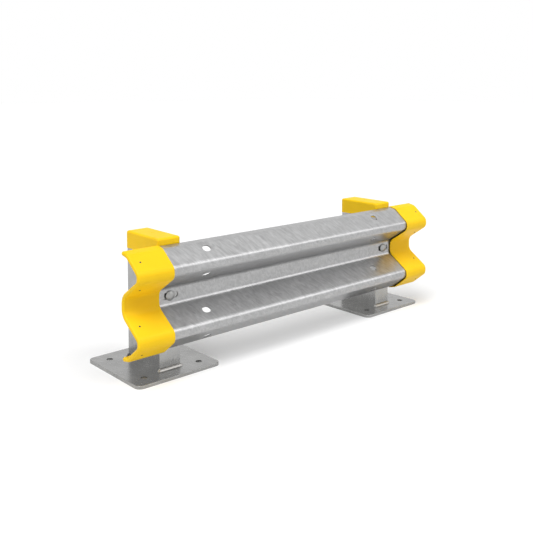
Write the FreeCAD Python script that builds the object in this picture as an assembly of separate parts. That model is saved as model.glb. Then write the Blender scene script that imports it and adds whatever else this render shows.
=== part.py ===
import FreeCAD, Part
import math
import os

V = FreeCAD.Vector

# Industrial guard rail: a short corrugated steel rail bolted to the front of two channel
# posts, which are welded to base plates. Moulded plastic caps cover the rail's two ends
# and the posts' two tops.
# X runs along the rail, -Y is the side that the rail faces, and Z is up. The origin is on
# the floor, in the middle of the two base plates. All sizes are in millimetres.

# Base plates
POST_SPACING = 1000.0
PLATE_SIZE = 300.0
PLATE_THICKNESS = 10.0
PLATE_CORNER_RADIUS = 20.0
PLATE_EDGE_RADIUS = 1.2
ANCHOR_SPACING = 200.0
ANCHOR_HOLE_DIAMETER = 20.0

# Channel posts, with the web towards -X and the flanges' toes towards +X
POST_HEIGHT = 400.0
POST_DEPTH = 177.0
POST_WIDTH = 75.0
POST_WEB = 6.5
POST_FLANGE = 10.0
POST_ROOT_RADIUS = 12.0
POST_TOE_RADIUS = 3.0
WELD_LEG = 8.0
WELD_BULGE = 0.8

# Corrugated rail
RAIL_SHEET = 3.0
RAIL_HEIGHT = 314.0
RAIL_DEPTH = 86.0
RAIL_CENTRE_HEIGHT = 236.5
RAIL_OVERHANG = 157.0
CREST_SPACING = 189.0
CREST_WIDTH = 23.0
CREST_RADIUS = 18.0
VALLEY_WIDTH = 53.0
VALLEY_RADIUS = 20.0
LIP_LENGTH = 24.0
LIP_PITCH = math.radians(12.0)
LIP_RADIUS = 20.0
LIP_SETBACK = 5.0
POST_SLOT_LENGTH = 60.0
POST_SLOT_WIDTH = 20.0
SPLICE_OFFSET = 106.0
SPLICE_FROM_CREST = 48.0
SPLICE_SLOT_LENGTH = 29.0
SPLICE_SLOT_WIDTH = 23.0

# Bolt, washer and nut that hold the rail to each post
BOLT_DIAMETER = 16.0
BOLT_HEAD_DIAMETER = 31.0
BOLT_HEAD_HEIGHT = 8.0
BOLT_HEAD_RIM = 2.5
BOLT_NECK_LENGTH = 25.0
BOLT_CLEARANCE = 1.0
BOLT_SPARE_THREAD = 5.0
BOLT_TIP_CHAMFER = 1.5
WASHER_DIAMETER = 30.0
WASHER_THICKNESS = 3.0
NUT_ACROSS_FLATS = 24.0
NUT_THICKNESS = 14.8
NUT_CHAMFER_ANGLE = math.radians(30.0)
THREAD_CLEARANCE = 0.05

# Moulded caps over the rail's ends. Their valley is rounder than the rail's: its radius is
# given on the rail's own line, before the line moves out to the cap's wall.
END_CAP_POST_CLEARANCE = 0.8
END_CAP_WALL = 3.0
END_CAP_GAP = 2.2
END_CAP_END_WALL = 6.0
END_CAP_END_RADIUS = 5.8
END_CAP_RIM_RADIUS = 1.0
END_CAP_STOP = 2.0
END_CAP_VALLEY_RADIUS = 36.0
HOOK_LENGTH = 9.0
HOOK_RADIUS = 4.5
HOOK_CLEARANCE = 3.0
SEAT_CLEARANCE = 0.05

# Small screws that hold each end cap to the rail
SCREW_FROM_RAIL_END = 20.0
OUTER_SCREW_FROM_CREST = 38.0
INNER_SCREW_FROM_CREST = 44.0
SCREW_DIAMETER = 4.2
SCREW_HEAD_DIAMETER = 6.0
SCREW_HEAD_HEIGHT = 1.5
SCREW_HEAD_RIM = 0.4
SCREW_TIP_LENGTH = 5.0
SCREW_TIP_CHAMFER = 1.0
SCREW_HOLE_CLEARANCE = 0.1
SCREW_BOSS_DIAMETER = 13.0

# Moulded caps over the posts' tops
POST_CAP_WALL = 2.5
POST_CAP_TOP = 5.0
POST_CAP_SKIRT = 50.0
POST_CAP_GAP = 0.5
POST_CAP_EDGE_RADIUS = 7.0
POST_CAP_INNER_RADIUS = 1.0
GATE_MARK_DIAMETER = 12.0
GATE_MARK_DEPTH = 0.6

# Places that follow from the sizes above
POST_X = POST_SPACING / 2
POST_FRONT_Y = -POST_DEPTH / 2
POST_TOP_Z = PLATE_THICKNESS + POST_HEIGHT
RAIL_END_X = POST_X + RAIL_OVERHANG
POST_CAP_REACH = POST_CAP_GAP + POST_CAP_WALL
END_CAP_INNER_X = POST_X + POST_WIDTH / 2 + POST_CAP_REACH + END_CAP_POST_CLEARANCE
END_CAP_OUTER_X = RAIL_END_X + END_CAP_STOP + END_CAP_END_WALL
END_CAP_SHIFT = RAIL_SHEET / 2 + END_CAP_GAP + END_CAP_WALL / 2
END_CAP_DROP = (END_CAP_GAP - SEAT_CLEARANCE) / math.cos(LIP_PITCH)
HOOK_DEPTH = RAIL_SHEET + 2 * (END_CAP_GAP + END_CAP_WALL)
SCREW_X = RAIL_END_X - SCREW_FROM_RAIL_END

TOLERANCE = 0.001
ALONG = V(1, 0, 0)
BACKWARD = V(0, 1, 0)
UPWARD = V(0, 0, 1)


def unit(vector):
    return vector / vector.Length


def front_side(start, end):
    """Sideways direction of a run in the YZ plane: the front, for a run that goes down."""
    run = unit(end - start)
    return V(0, run.z, -run.y)


def shifted(corners, radii, shift):
    """A bent line after each of its straight runs moves sideways, with its bends to match."""
    sides = [front_side(a, b) for a, b in zip(corners, corners[1:])]
    moved = [corners[0] + sides[0] * shift]
    new_radii = []
    for index, radius in enumerate(radii):
        before, after = sides[index], sides[index + 1]
        moved.append(corners[index + 1] + (before + after) * (shift / (1 + before.dot(after))))
        turns_to_front = before.dot(corners[index + 2] - corners[index + 1]) > 0
        new_radii.append(radius - shift if turns_to_front else radius + shift)
    moved.append(corners[-1] + sides[-1] * shift)
    return moved, new_radii


def bent_edges(corners, radii):
    """Straight runs through the corners, with a tangent arc at each corner between them."""
    edges = []
    start = corners[0]
    for before, corner, after, radius in zip(corners, corners[1:], corners[2:], radii):
        if radius == 0:
            edges.append(Part.LineSegment(start, corner).toShape())
            start = corner
            continue
        run_in = unit(corner - before)
        run_out = unit(after - corner)
        half_turn = run_in.getAngle(run_out) / 2
        setback = radius * math.tan(half_turn)
        arc_start = corner - run_in * setback
        arc_end = corner + run_out * setback
        rise = radius / math.cos(half_turn) - radius
        arc_middle = corner + unit(run_out - run_in) * rise
        edges.append(Part.LineSegment(start, arc_start).toShape())
        edges.append(Part.Arc(arc_start, arc_middle, arc_end).toShape())
        start = arc_end
    edges.append(Part.LineSegment(start, corners[-1]).toShape())
    return edges


def closed_face(corners, radii):
    """Flat face inside a closed outline, with each corner rounded by its own radius."""
    middle = (corners[-1] + corners[0]) / 2
    return Part.Face(Part.Wire(bent_edges([middle] + corners + [middle], radii)))


def band_face(corners, radii, front, back):
    """Flat face between two copies of a bent line, shifted sideways by front and back."""
    front_corners, front_radii = shifted(corners, radii, front)
    back_corners, back_radii = shifted(corners, radii, back)
    edges = bent_edges(front_corners, front_radii)
    edges.append(Part.LineSegment(front_corners[-1], back_corners[-1]).toShape())
    edges.extend(reversed(bent_edges(back_corners, back_radii)))
    edges.append(Part.LineSegment(back_corners[0], front_corners[0]).toShape())
    return Part.Face(Part.Wire(edges))


def along_x(face, start_x, end_x):
    """Solid made by running a face in the YZ plane from one X to another."""
    start = face.copy()
    start.translate(ALONG * start_x)
    return start.extrude(ALONG * (end_x - start_x))


def rod(base, axis, diameter, length):
    return Part.makeCylinder(diameter / 2, length, base, axis)


def straight_edges(points):
    return [Part.LineSegment(a, b).toShape() for a, b in zip(points, points[1:])]


def turned(edges):
    """Solid turned about the Y axis from a closed outline on the XY plane."""
    return Part.Face(Part.Wire(edges)).revolve(V(0, 0, 0), BACKWARD, 360)


def headed_pin(head_diameter, head_rim, head_height, diameter, length, chamfer):
    """Round-headed bolt or screw along Y, with the head's flat underside at Y = 0."""
    head_radius = head_diameter / 2
    dome_height = head_height - head_rim
    dome_radius = (head_radius ** 2 + dome_height ** 2) / (2 * dome_height)
    half_angle = math.asin(head_radius / dome_radius) / 2
    dome_middle = V(dome_radius * math.sin(half_angle),
                    dome_radius * (1 - math.cos(half_angle)) - head_height, 0)
    apex = V(0, -head_height, 0)
    rim = V(head_radius, -head_rim, 0)
    radius = diameter / 2
    outline = [
        apex,
        V(0, length, 0),
        V(radius - chamfer, length, 0),
        V(radius, length - chamfer, 0),
        V(radius, 0, 0),
        V(head_radius, 0, 0),
        rim,
    ]
    return turned(straight_edges(outline) + [Part.Arc(rim, dome_middle, apex).toShape()])


def slot_cutter(centre, normal, length, width, depth):
    """Solid of a round-ended slot whose long way is along X, depth deep about its centre."""
    across = normal.cross(ALONG) * (width / 2)
    reach = ALONG * ((length - width) / 2)
    tip = ALONG * (length / 2)
    edges = [
        Part.LineSegment(centre - reach + across, centre + reach + across).toShape(),
        Part.Arc(centre + reach + across, centre + tip, centre + reach - across).toShape(),
        Part.LineSegment(centre + reach - across, centre - reach - across).toShape(),
        Part.Arc(centre - reach - across, centre - tip, centre - reach + across).toShape(),
    ]
    face = Part.Face(Part.Wire(edges))
    face.translate(normal * (-depth / 2))
    return face.extrude(normal * depth)


def mirrored_down(corners):
    """The upper corners followed by their mirror images below the rail's centre."""
    lower = [V(c.x, c.y, 2 * RAIL_CENTRE_HEIGHT - c.z) for c in reversed(corners)]
    return corners + lower


def rail_line(valley_radius=VALLEY_RADIUS):
    """Middle of the rail's sheet, from the end of its top lip down to its bottom lip."""
    valley_y = POST_FRONT_Y - RAIL_SHEET / 2
    crest_y = POST_FRONT_Y - RAIL_DEPTH + RAIL_SHEET / 2
    crest_z = RAIL_CENTRE_HEIGHT + CREST_SPACING / 2
    lip_top = RAIL_CENTRE_HEIGHT + RAIL_HEIGHT / 2
    lip_end = V(0, POST_FRONT_Y - LIP_SETBACK, lip_top - RAIL_SHEET / 2 * math.cos(LIP_PITCH))
    lip_run = V(0, -math.cos(LIP_PITCH), -math.sin(LIP_PITCH)) * LIP_LENGTH
    upper = [
        lip_end,
        lip_end + lip_run,
        V(0, crest_y, crest_z + CREST_WIDTH / 2),
        V(0, crest_y, crest_z - CREST_WIDTH / 2),
        V(0, valley_y, RAIL_CENTRE_HEIGHT + VALLEY_WIDTH / 2),
    ]
    upper_radii = [LIP_RADIUS, CREST_RADIUS, CREST_RADIUS, valley_radius]
    return mirrored_down(upper), upper_radii + upper_radii[::-1]


def slope_points(outer_distance, inner_distance):
    """A point on each of the rail's four slopes, and the direction out of that slope.

    The point is on the front face, at a distance along the slope from its crest's corner.
    The outer slopes run to the lips, and the inner ones run to the valley.
    """
    corners, _ = rail_line()
    slopes = (
        (1, False, outer_distance),
        (3, True, inner_distance),
        (5, False, inner_distance),
        (7, True, outer_distance),
    )
    points = []
    for top, crest_is_above, from_crest in slopes:
        start, end = corners[top], corners[top + 1]
        run = unit(end - start) * from_crest
        side = front_side(start, end)
        middle_line = start + run if crest_is_above else end - run
        points.append((middle_line + side * (RAIL_SHEET / 2), side))
    return points


def screw_points():
    return slope_points(OUTER_SCREW_FROM_CREST, INNER_SCREW_FROM_CREST)


def make_rail():
    corners, radii = rail_line()
    sheet = band_face(corners, radii, RAIL_SHEET / 2, -RAIL_SHEET / 2)
    rail = along_x(sheet, -RAIL_END_X, RAIL_END_X)
    cut_depth = 4 * RAIL_SHEET
    cutters = []
    for post_x in (-POST_X, POST_X):
        centre = V(post_x, POST_FRONT_Y, RAIL_CENTRE_HEIGHT)
        cutters.append(slot_cutter(centre, BACKWARD, POST_SLOT_LENGTH, POST_SLOT_WIDTH, cut_depth))
        for face_point, side in slope_points(SPLICE_FROM_CREST, SPLICE_FROM_CREST):
            for offset in (-SPLICE_OFFSET, SPLICE_OFFSET):
                centre = face_point + ALONG * (post_x + offset)
                cutters.append(slot_cutter(centre, side, SPLICE_SLOT_LENGTH, SPLICE_SLOT_WIDTH, cut_depth))
    hole = SCREW_DIAMETER + SCREW_HOLE_CLEARANCE
    for screw_x in (-SCREW_X, SCREW_X):
        for face_point, side in screw_points():
            base = face_point + ALONG * screw_x + side * RAIL_SHEET
            cutters.append(rod(base, side * -1, hole, 3 * RAIL_SHEET))
    return rail.cut(cutters)


def upright_block(size_x, size_y, height, radius):
    """Block on the XY plane about the Z axis, with rounded upright edges."""
    half_x, half_y = size_x / 2, size_y / 2
    corners = [
        V(-half_x, -half_y, 0),
        V(half_x, -half_y, 0),
        V(half_x, half_y, 0),
        V(-half_x, half_y, 0),
    ]
    return closed_face(corners, [radius] * 4).extrude(UPWARD * height)


def make_base_plate(post_x):
    plate = upright_block(PLATE_SIZE, PLATE_SIZE, PLATE_THICKNESS, PLATE_CORNER_RADIUS)
    top_edges = [e for e in plate.Edges if e.BoundBox.ZMin > PLATE_THICKNESS / 2]
    plate = plate.makeFillet(PLATE_EDGE_RADIUS, top_edges)
    reach = ANCHOR_SPACING / 2
    for x in (-reach, reach):
        for y in (-reach, reach):
            plate = plate.cut(rod(V(x, y, 0), UPWARD, ANCHOR_HOLE_DIAMETER, PLATE_THICKNESS))
    plate.translate(ALONG * post_x)
    return plate


def make_post(post_x):
    web_x, toe_x = -POST_WIDTH / 2, POST_WIDTH / 2
    inner_x = web_x + POST_WEB
    outer_y = POST_DEPTH / 2
    inner_y = outer_y - POST_FLANGE
    corners = [
        V(web_x, -outer_y, 0),
        V(toe_x, -outer_y, 0),
        V(toe_x, -inner_y, 0),
        V(inner_x, -inner_y, 0),
        V(inner_x, inner_y, 0),
        V(toe_x, inner_y, 0),
        V(toe_x, outer_y, 0),
        V(web_x, outer_y, 0),
    ]
    radii = [0, 0, POST_TOE_RADIUS, POST_ROOT_RADIUS, POST_ROOT_RADIUS, POST_TOE_RADIUS, 0, 0]
    post = closed_face(corners, radii).extrude(UPWARD * POST_HEIGHT)
    post.translate(V(post_x, 0, PLATE_THICKNESS))
    hole_start = V(post_x, POST_FRONT_Y, RAIL_CENTRE_HEIGHT)
    hole = rod(hole_start, BACKWARD, BOLT_DIAMETER + 2 * BOLT_CLEARANCE, POST_FLANGE)
    return post.cut(hole)


def make_front_weld(post_x):
    """Fillet bead along the post's front flange, turned round the flange's two corners."""
    foot = V(0, 0, PLATE_THICKNESS)
    bulge = WELD_LEG / 2 + WELD_BULGE
    edges = [
        Part.LineSegment(foot, foot - BACKWARD * WELD_LEG).toShape(),
        Part.Arc(
            foot - BACKWARD * WELD_LEG,
            foot + V(0, -bulge, bulge),
            foot + UPWARD * WELD_LEG,
        ).toShape(),
        Part.LineSegment(foot + UPWARD * WELD_LEG, foot).toShape(),
    ]
    profile = Part.Face(Part.Wire(edges))
    half = POST_WIDTH / 2
    bead = along_x(profile, -half, half)
    for corner_x, turn in ((-half, -90), (half, 90)):
        end = profile.copy()
        end.translate(ALONG * corner_x)
        bead = bead.fuse(end.revolve(ALONG * corner_x, UPWARD, turn))
    bead = bead.removeSplitter()
    bead.translate(V(post_x, POST_FRONT_Y, 0))
    return bead


def make_back_weld(post_x):
    return make_front_weld(post_x).mirror(V(0, 0, 0), BACKWARD)


def rail_face_point(post_x):
    """Where a bolt's axis meets the front of the rail's valley."""
    return V(post_x, POST_FRONT_Y - RAIL_SHEET, RAIL_CENTRE_HEIGHT)


def make_rail_bolt(post_x):
    """Round-headed bolt with an oval neck that fills the slot's width."""
    length = RAIL_SHEET + POST_FLANGE + WASHER_THICKNESS + NUT_THICKNESS + BOLT_SPARE_THREAD
    bolt = headed_pin(BOLT_HEAD_DIAMETER, BOLT_HEAD_RIM, BOLT_HEAD_HEIGHT,
                      BOLT_DIAMETER, length, BOLT_TIP_CHAMFER)
    neck_width = POST_SLOT_WIDTH - BOLT_CLEARANCE
    neck_centre = BACKWARD * (RAIL_SHEET / 2)
    neck = slot_cutter(neck_centre, BACKWARD, BOLT_NECK_LENGTH, neck_width, RAIL_SHEET)
    bolt = bolt.fuse(neck).removeSplitter()
    bolt.translate(rail_face_point(post_x))
    return bolt


def make_rail_washer(post_x):
    base = rail_face_point(post_x) + BACKWARD * (RAIL_SHEET + POST_FLANGE)
    hole = BOLT_DIAMETER + BOLT_CLEARANCE
    washer = rod(base, BACKWARD, WASHER_DIAMETER, WASHER_THICKNESS)
    return washer.cut(rod(base, BACKWARD, hole, WASHER_THICKNESS))


def make_rail_nut(post_x):
    """Hexagon nut with its corners turned off at both faces."""
    corner_radius = NUT_ACROSS_FLATS / math.sqrt(3)
    corners = []
    for step in range(6):
        angle = math.radians(60 * step)
        corners.append(V(corner_radius * math.cos(angle), 0, corner_radius * math.sin(angle)))
    hexagon = closed_face(corners, [0] * 6).extrude(BACKWARD * NUT_THICKNESS)
    flat_radius = NUT_ACROSS_FLATS / 2
    chamfer = (corner_radius - flat_radius) * math.tan(NUT_CHAMFER_ANGLE)
    blank = turned(straight_edges([
        V(0, 0, 0),
        V(flat_radius, 0, 0),
        V(corner_radius, chamfer, 0),
        V(corner_radius, NUT_THICKNESS - chamfer, 0),
        V(flat_radius, NUT_THICKNESS, 0),
        V(0, NUT_THICKNESS, 0),
        V(0, 0, 0),
    ]))
    hole = BOLT_DIAMETER + 2 * THREAD_CLEARANCE
    nut = hexagon.common(blank).cut(rod(V(0, 0, 0), BACKWARD, hole, NUT_THICKNESS))
    seat = RAIL_SHEET + POST_FLANGE + WASHER_THICKNESS
    nut.translate(rail_face_point(post_x) + BACKWARD * seat)
    return nut


def end_cap_gap(side):
    """Gap between cap and rail along a direction, once the cap has dropped onto the rail."""
    return END_CAP_GAP - END_CAP_DROP * side.z


def hooked_line(corners, radii):
    """A cap's wall line with a hook added at each lip, which wraps behind the rail's edge."""
    top_run = unit(corners[1] - corners[0])
    top_side = front_side(corners[0], corners[1])
    back_reach = HOOK_CLEARANCE + END_CAP_WALL / 2
    top_turn = corners[0] - top_run * back_reach
    top_under = top_turn - top_side * (HOOK_DEPTH - END_CAP_WALL)
    hook = [top_under + top_run * HOOK_LENGTH, top_under, top_turn]
    upper = hook + corners[1:len(corners) // 2]
    inner_radii = [HOOK_RADIUS, HOOK_RADIUS]
    return mirrored_down(upper), inner_radii + radii + inner_radii


def make_right_end_cap():
    """Moulded shell over the rail's end: wall, hooks, closed outer end and screw bosses.

    The wall's line is the rail's, moved out by the gap. It is built around the rail with an
    even gap, and then drops by its play until it rests on the rail's up-facing slopes.
    """
    lip_corners, lip_radii = shifted(*rail_line(END_CAP_VALLEY_RADIUS), END_CAP_SHIFT)
    corners, radii = hooked_line(lip_corners, lip_radii)
    half_wall = END_CAP_WALL / 2
    wall = band_face(corners, radii, half_wall, -half_wall)
    shell = along_x(wall, END_CAP_INNER_X, END_CAP_OUTER_X)
    front_corners, front_radii = shifted(corners, radii, half_wall)
    back_corners, back_radii = shifted(lip_corners, lip_radii, half_wall - HOOK_DEPTH)
    outline = front_corners[1:-1] + back_corners[-2:0:-1]
    end_face = closed_face(outline, front_radii + back_radii[::-1])
    cap = shell.fuse(along_x(end_face, END_CAP_OUTER_X - END_CAP_END_WALL, END_CAP_OUTER_X))
    cap = cap.removeSplitter()
    end_edges = [e for e in cap.Edges if e.BoundBox.XMin > END_CAP_OUTER_X - TOLERANCE]
    cap = cap.makeFillet(END_CAP_END_RADIUS, end_edges)
    rim_edges = [e for e in cap.Edges if e.BoundBox.XMax < END_CAP_INNER_X + TOLERANCE]
    cap = cap.makeFillet(END_CAP_RIM_RADIUS, rim_edges)
    cap.translate(UPWARD * -END_CAP_DROP)
    hole = SCREW_DIAMETER + SCREW_HOLE_CLEARANCE
    for face_point, side in screw_points():
        foot = face_point + ALONG * SCREW_X
        height = end_cap_gap(side)
        boss_height = height + half_wall - SEAT_CLEARANCE
        cap = cap.fuse(rod(foot + side * SEAT_CLEARANCE, side, SCREW_BOSS_DIAMETER, boss_height))
        cap = cap.cut(rod(foot, side, hole, height + 2 * END_CAP_WALL))
    return cap.Solids[0]


def make_right_end_cap_screws():
    screws = []
    for face_point, side in screw_points():
        seat = end_cap_gap(side) + END_CAP_WALL
        length = seat + RAIL_SHEET + SCREW_TIP_LENGTH
        screw = headed_pin(SCREW_HEAD_DIAMETER, SCREW_HEAD_RIM, SCREW_HEAD_HEIGHT,
                           SCREW_DIAMETER, length, SCREW_TIP_CHAMFER)
        head_base = face_point + ALONG * SCREW_X + side * seat
        screw.Placement = FreeCAD.Placement(head_base, FreeCAD.Rotation(BACKWARD, side * -1))
        screws.append(screw)
    return Part.makeCompound(screws)


def make_post_cap(post_x):
    """Box-shaped cap that sits on the post's top with its skirt around the post."""
    height = POST_CAP_SKIRT + POST_CAP_TOP
    block = Part.makeBox(
        POST_WIDTH + 2 * POST_CAP_REACH,
        POST_DEPTH + 2 * POST_CAP_REACH,
        height,
        V(-POST_WIDTH / 2 - POST_CAP_REACH, -POST_DEPTH / 2 - POST_CAP_REACH, 0),
    )
    outer_edges = [e for e in block.Edges if e.BoundBox.ZMax > height / 2]
    block = block.makeFillet(POST_CAP_EDGE_RADIUS, outer_edges)
    inside = upright_block(POST_WIDTH + 2 * POST_CAP_GAP, POST_DEPTH + 2 * POST_CAP_GAP,
                           POST_CAP_SKIRT, POST_CAP_INNER_RADIUS)
    gate_base = UPWARD * (height - GATE_MARK_DEPTH)
    cap = block.cut([inside, rod(gate_base, UPWARD, GATE_MARK_DIAMETER, GATE_MARK_DEPTH)])
    cap.translate(V(post_x, 0, POST_TOP_Z - POST_CAP_SKIRT))
    return cap


def main():
    nodes = {"rail": make_rail()}
    per_post = {
        "base_plate": make_base_plate,
        "post": make_post,
        "front_weld": make_front_weld,
        "back_weld": make_back_weld,
        "rail_bolt": make_rail_bolt,
        "rail_washer": make_rail_washer,
        "rail_nut": make_rail_nut,
        "post_cap": make_post_cap,
    }
    for side, post_x in (("left", -POST_X), ("right", POST_X)):
        for name, make in per_post.items():
            nodes[side + "_" + name] = make(post_x)
    nodes["right_end_cap"] = make_right_end_cap()
    nodes["right_end_cap_screws"] = make_right_end_cap_screws()
    for name in ("end_cap", "end_cap_screws"):
        nodes["left_" + name] = nodes["right_" + name].mirror(V(0, 0, 0), ALONG)
    os.makedirs("parts", exist_ok=True)
    for name, shape in nodes.items():
        shape.exportStep("parts/" + name + ".step")


main()
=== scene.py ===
import math

import bpy
from mathutils import Euler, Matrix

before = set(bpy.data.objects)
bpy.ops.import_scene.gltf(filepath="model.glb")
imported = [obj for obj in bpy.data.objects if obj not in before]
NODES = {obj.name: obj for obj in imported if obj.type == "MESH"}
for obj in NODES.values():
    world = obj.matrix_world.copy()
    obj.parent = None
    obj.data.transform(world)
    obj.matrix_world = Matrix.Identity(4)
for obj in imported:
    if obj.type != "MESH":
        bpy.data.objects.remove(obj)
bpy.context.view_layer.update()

# The low guard rail in a pale studio, seen from the photo's place.
# Lengths are metres, angles are degrees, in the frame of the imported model.

SIDES = ("left", "right")
MILLIMETRE = 0.001

# Camera: a partial shift of the lens keeps the posts nearly upright, as in the photo.
CAMERA_PLACE = (-1.7574, -1.9492, 0.8736)
CAMERA_YAW = 41.597
CAMERA_PITCH = 3.706
CAMERA_LENS = 50.34
CAMERA_SENSOR = 36.0
CAMERA_SHIFT = -0.25

# Studio: a pale floor under a white world, and soft suns at an azimuth, counted from -Y towards +X,
# and an elevation. A sun of strength 3.14 would light a white surface that faces it fully.
WHITE = (1.0, 1.0, 1.0, 1.0)
FLOOR_SIZE = 60.0
FLOOR_COLOUR = (0.80, 0.80, 0.80, 1.0)
FLOOR_GLOW = 0.18
WORLD_LIGHT = 0.16
SUNS = {
    "key": {"azimuth": -64.0, "elevation": 52.0, "angle": 32.0, "strength": 1.62},
    "second": {"azimuth": 20.0, "elevation": 55.0, "angle": 32.0, "strength": 1.02},
    "top": {"azimuth": -90.0, "elevation": 76.0, "angle": 32.0, "strength": 0.9},
    "low": {"azimuth": 47.0, "elevation": 28.0, "angle": 26.0, "strength": 0.30},
}

# Finishes: linear colours of the parts.
RAIL_GREY = (0.405, 0.405, 0.407, 1.0)
PLATE_GREY = (0.325, 0.325, 0.32, 1.0)
POST_GREY = (0.37, 0.37, 0.365, 1.0)
WELD_GREY = (0.38, 0.37, 0.355, 1.0)
ZINC_GREY = (0.36, 0.36, 0.355, 1.0)
CAP_YELLOW = (0.97, 0.615, 0.012, 1.0)
SCREW_DARK = (0.10, 0.075, 0.03, 1.0)

# Galvanised finishes: the zinc's metal share and roughness, the way its streaks lean, and how far the
# streaks and the clouds change its tone.
GALVANISED = {
    "galvanised_sheet": {"grey": RAIL_GREY, "metallic": 0.85, "rough": 0.33,
                         "streak_turn": (-50, 0, 32), "streak_depth": 0.155, "cloud_depth": 0.05},
    "galvanised_plate": {"grey": PLATE_GREY, "metallic": 0.96, "rough": 0.26,
                         "streak_turn": (90, 0, 30), "streak_depth": 0.07, "cloud_depth": 0.10},
    "galvanised_post": {"grey": POST_GREY, "metallic": 1.0, "rough": 0.26,
                        "streak_turn": (0, 15, 0), "streak_depth": 0.06, "cloud_depth": 0.06},
}
STREAK_LENGTH = 4.0  # times the streak's width
STREAK_GLOSS_SHARE = 0.3  # change of roughness, as a share of the streaks' change of tone
STREAK_BUMP_SHARE = 0.2  # strength of the bump, as the same share

# The values that each kind of texture mostly gives.
NOISE_SPAN = (0.3, 0.7)
WAVE_SPAN = (0.0, 1.0)


class Maker:
    """A material's node tree, with short calls for the nodes that the finishes share."""

    def __init__(self, name, metallic=0.0):
        self.material = bpy.data.materials.new(name)
        self.material.use_nodes = True
        self.tree = self.material.node_tree
        self.shader = self.tree.nodes["Principled BSDF"]
        self.shader.inputs["Metallic"].default_value = metallic
        self.place = self.node("ShaderNodeTexCoord").outputs["Object"]

    def node(self, kind):
        return self.tree.nodes.new(kind)

    def link(self, source, target):
        self.tree.links.new(source, target)

    def stretched(self, stretch, turn):
        """The place on the object, drawn out along an axis that is Z before the turn."""
        node = self.node("ShaderNodeMapping")
        node.vector_type = "TEXTURE"
        node.inputs["Scale"].default_value = (1.0, 1.0, stretch)
        node.inputs["Rotation"].default_value = [math.radians(angle) for angle in turn]
        self.link(self.place, node.inputs["Vector"])
        return node.outputs["Vector"]

    def noise(self, scale, detail=4.0, roughness=0.55, vector=None, distortion=0.0):
        """Noise with scale features per metre."""
        node = self.node("ShaderNodeTexNoise")
        node.inputs["Scale"].default_value = scale
        node.inputs["Detail"].default_value = detail
        node.inputs["Roughness"].default_value = roughness
        node.inputs["Distortion"].default_value = distortion
        self.link(vector or self.place, node.inputs["Vector"])
        return node.outputs["Fac"]

    def ripple(self, scale, distortion):
        node = self.node("ShaderNodeTexWave")
        node.inputs["Scale"].default_value = scale
        node.inputs["Distortion"].default_value = distortion
        self.link(self.place, node.inputs["Vector"])
        return node.outputs["Fac"]

    def between(self, value, low, high, span=NOISE_SPAN):
        """value, spread from span to the range from low to high."""
        node = self.node("ShaderNodeMapRange")
        node.inputs["From Min"].default_value, node.inputs["From Max"].default_value = span
        node.inputs["To Min"].default_value = low
        node.inputs["To Max"].default_value = high
        self.link(value, node.inputs["Value"])
        return node.outputs["Result"]

    def around(self, value, middle, swing):
        return self.between(value, middle - swing, middle + swing)

    def times(self, first, second):
        node = self.node("ShaderNodeMath")
        node.operation = "MULTIPLY"
        self.link(first, node.inputs[0])
        self.link(second, node.inputs[1])
        return node.outputs["Value"]

    def colour(self, colour, tone):
        """Base colour, made lighter or darker by a tone that varies over the surface."""
        node = self.node("ShaderNodeMix")
        node.data_type = "RGBA"
        node.blend_type = "MULTIPLY"
        node.inputs["Factor"].default_value = 1.0
        node.inputs["A"].default_value = colour
        self.link(tone, node.inputs["B"])
        self.link(node.outputs["Result"], self.shader.inputs["Base Color"])

    def roughness(self, source):
        self.link(source, self.shader.inputs["Roughness"])

    def bump(self, height, strength, distance):
        node = self.node("ShaderNodeBump")
        node.inputs["Strength"].default_value = strength
        node.inputs["Distance"].default_value = distance
        self.link(height, node.inputs["Height"])
        self.link(node.outputs["Normal"], self.shader.inputs["Normal"])


def galvanised(name):
    """Hot-dip zinc: fine streaks, soft cloudy patches and a slightly uneven gloss."""
    look = GALVANISED[name]
    depth = look["streak_depth"]
    m = Maker(name, look["metallic"])
    along = m.stretched(STREAK_LENGTH, look["streak_turn"])
    streaks = m.noise(scale=105.0, detail=3.0, roughness=0.55, vector=along, distortion=1.0)
    clouds = m.noise(scale=22.0, detail=4.0, roughness=0.6)
    m.colour(look["grey"], m.times(m.around(streaks, 1.0, depth), m.around(clouds, 1.0, look["cloud_depth"])))
    m.roughness(m.around(streaks, look["rough"], STREAK_GLOSS_SHARE * depth))
    m.bump(streaks, strength=STREAK_BUMP_SHARE * depth, distance=MILLIMETRE)
    return m.material


def weld_metal():
    """A fillet bead with fine ripples across it."""
    m = Maker("weld_metal", metallic=1.0)
    ripple = m.ripple(scale=90.0, distortion=1.2)
    m.colour(WELD_GREY, m.between(ripple, 0.90, 1.06, WAVE_SPAN))
    m.roughness(m.between(m.noise(scale=180.0), 0.38, 0.48))
    m.bump(ripple, strength=0.12, distance=MILLIMETRE)
    return m.material


def zinc_fastener():
    """Zinc plating, slightly dull in patches."""
    m = Maker("fastener_zinc", metallic=1.0)
    patches = m.noise(scale=110.0, detail=3.0, roughness=0.5)
    m.colour(ZINC_GREY, m.between(patches, 0.92, 1.06))
    m.roughness(m.between(patches, 0.32, 0.42))
    return m.material


def yellow_plastic(name):
    """Moulded plastic with slightly uneven tone and gloss, and a fine grain."""
    m = Maker(name)
    m.shader.inputs["Specular IOR Level"].default_value = 0.15
    m.colour(CAP_YELLOW, m.around(m.noise(scale=14.0, detail=3.0, roughness=0.5), 1.0, 0.03))
    m.roughness(m.between(m.noise(scale=60.0, detail=4.0), 0.46, 0.54))
    m.bump(m.noise(scale=900.0, detail=2.0), strength=0.05, distance=0.2 * MILLIMETRE)
    return m.material


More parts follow.
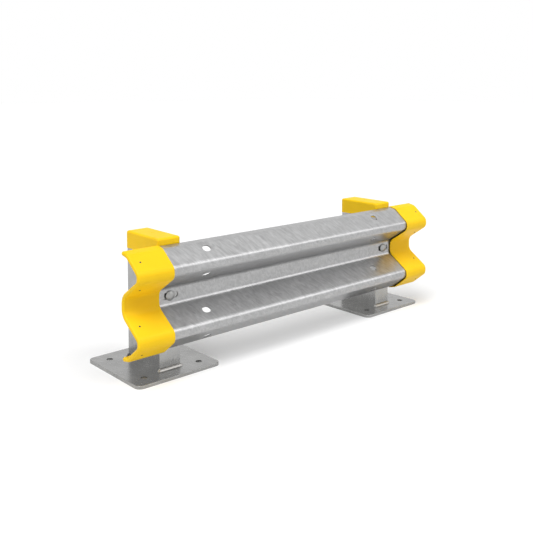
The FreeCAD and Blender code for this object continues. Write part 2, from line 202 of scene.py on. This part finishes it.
def dark_screw():
    """A dark coated screw."""
    m = Maker("cap_screw", metallic=0.5)
    patches = m.noise(scale=500.0, detail=3.0)
    m.colour(SCREW_DARK, m.between(patches, 0.8, 1.2))
    m.roughness(m.between(patches, 0.4, 0.5))
    return m.material


def dress(node, material):
    mesh = NODES[node].data
    mesh.materials.clear()
    mesh.materials.append(material)


def dress_all():
    dress("rail", galvanised("galvanised_sheet"))
    weld = weld_metal()
    zinc = zinc_fastener()
    finishes = {
        "base_plate": galvanised("galvanised_plate"),
        "post": galvanised("galvanised_post"),
        "front_weld": weld,
        "back_weld": weld,
        "rail_bolt": zinc,
        "rail_washer": zinc,
        "rail_nut": zinc,
        "end_cap": yellow_plastic("yellow_end_cap"),
        "post_cap": yellow_plastic("yellow_post_cap"),
        "end_cap_screws": dark_screw(),
    }
    for side in SIDES:
        for piece, material in finishes.items():
            dress(f"{side}_{piece}", material)


def add_camera():
    data = bpy.data.cameras.new("camera")
    data.sensor_width = CAMERA_SENSOR
    data.lens = CAMERA_LENS
    data.shift_y = CAMERA_SHIFT
    camera = bpy.data.objects.new("camera", data)
    camera.location = CAMERA_PLACE
    tilt = math.radians(90.0 - CAMERA_PITCH)
    camera.rotation_euler = Euler((tilt, 0.0, -math.radians(CAMERA_YAW)))
    bpy.context.scene.collection.objects.link(camera)
    bpy.context.scene.camera = camera


def seen_directly(tree):
    """1 for what the camera sees straight, in a gloss or through glass, and 0 for light on things."""
    path = tree.nodes.new("ShaderNodeLightPath")
    total = path.outputs["Is Camera Ray"]
    for kind in ("Is Glossy Ray", "Is Transmission Ray"):
        either = tree.nodes.new("ShaderNodeMath")
        either.operation = "MAXIMUM"
        tree.links.new(total, either.inputs[0])
        tree.links.new(path.outputs[kind], either.inputs[1])
        total = either.outputs["Value"]
    return total


def add_world():
    """A white world to look at, that lights the object only softly."""
    world = bpy.data.worlds.new("studio")
    bpy.context.scene.world = world
    world.use_nodes = True
    tree = world.node_tree
    tree.nodes.clear()
    light = tree.nodes.new("ShaderNodeBackground")
    light.inputs["Color"].default_value = WHITE
    light.inputs["Strength"].default_value = WORLD_LIGHT
    white = tree.nodes.new("ShaderNodeBackground")
    white.inputs["Color"].default_value = WHITE
    white.inputs["Strength"].default_value = 1.0
    mix = tree.nodes.new("ShaderNodeMixShader")
    output = tree.nodes.new("ShaderNodeOutputWorld")
    tree.links.new(seen_directly(tree), mix.inputs["Fac"])
    tree.links.new(light.outputs["Background"], mix.inputs[1])
    tree.links.new(white.outputs["Background"], mix.inputs[2])
    tree.links.new(mix.outputs["Shader"], output.inputs["Surface"])


def floor_material():
    """A pale floor: its colour takes the shadow, and a glow that only direct views see lifts it to white."""
    material = bpy.data.materials.new("studio_floor")
    material.use_nodes = True
    tree = material.node_tree
    tree.nodes.clear()
    matt = tree.nodes.new("ShaderNodeBsdfDiffuse")
    matt.inputs["Color"].default_value = FLOOR_COLOUR
    glow = tree.nodes.new("ShaderNodeEmission")
    glow.inputs["Color"].default_value = WHITE
    strength = tree.nodes.new("ShaderNodeMath")
    strength.operation = "MULTIPLY"
    strength.inputs[1].default_value = FLOOR_GLOW
    both = tree.nodes.new("ShaderNodeAddShader")
    output = tree.nodes.new("ShaderNodeOutputMaterial")
    tree.links.new(seen_directly(tree), strength.inputs[0])
    tree.links.new(strength.outputs["Value"], glow.inputs["Strength"])
    tree.links.new(matt.outputs["BSDF"], both.inputs[0])
    tree.links.new(glow.outputs["Emission"], both.inputs[1])
    tree.links.new(both.outputs["Shader"], output.inputs["Surface"])
    return material


def add_floor():
    half = FLOOR_SIZE / 2
    mesh = bpy.data.meshes.new("floor")
    corners = [(-half, -half, 0.0), (half, -half, 0.0), (half, half, 0.0), (-half, half, 0.0)]
    mesh.from_pydata(corners, [], [(0, 1, 2, 3)])
    mesh.materials.append(floor_material())
    floor = bpy.data.objects.new("floor", mesh)
    bpy.context.scene.collection.objects.link(floor)


def add_sun(name, azimuth, elevation, angle, strength):
    data = bpy.data.lights.new(name, "SUN")
    data.angle = math.radians(angle)
    data.energy = strength
    sun = bpy.data.objects.new(name, data)
    sun.rotation_euler = Euler((math.radians(90.0 - elevation), 0.0, math.radians(azimuth)))
    bpy.context.scene.collection.objects.link(sun)


def add_studio():
    add_world()
    add_floor()
    for name, sun in SUNS.items():
        add_sun(name, **sun)
    bpy.context.scene.view_settings.view_transform = "Standard"


dress_all()
add_camera()
add_studio()
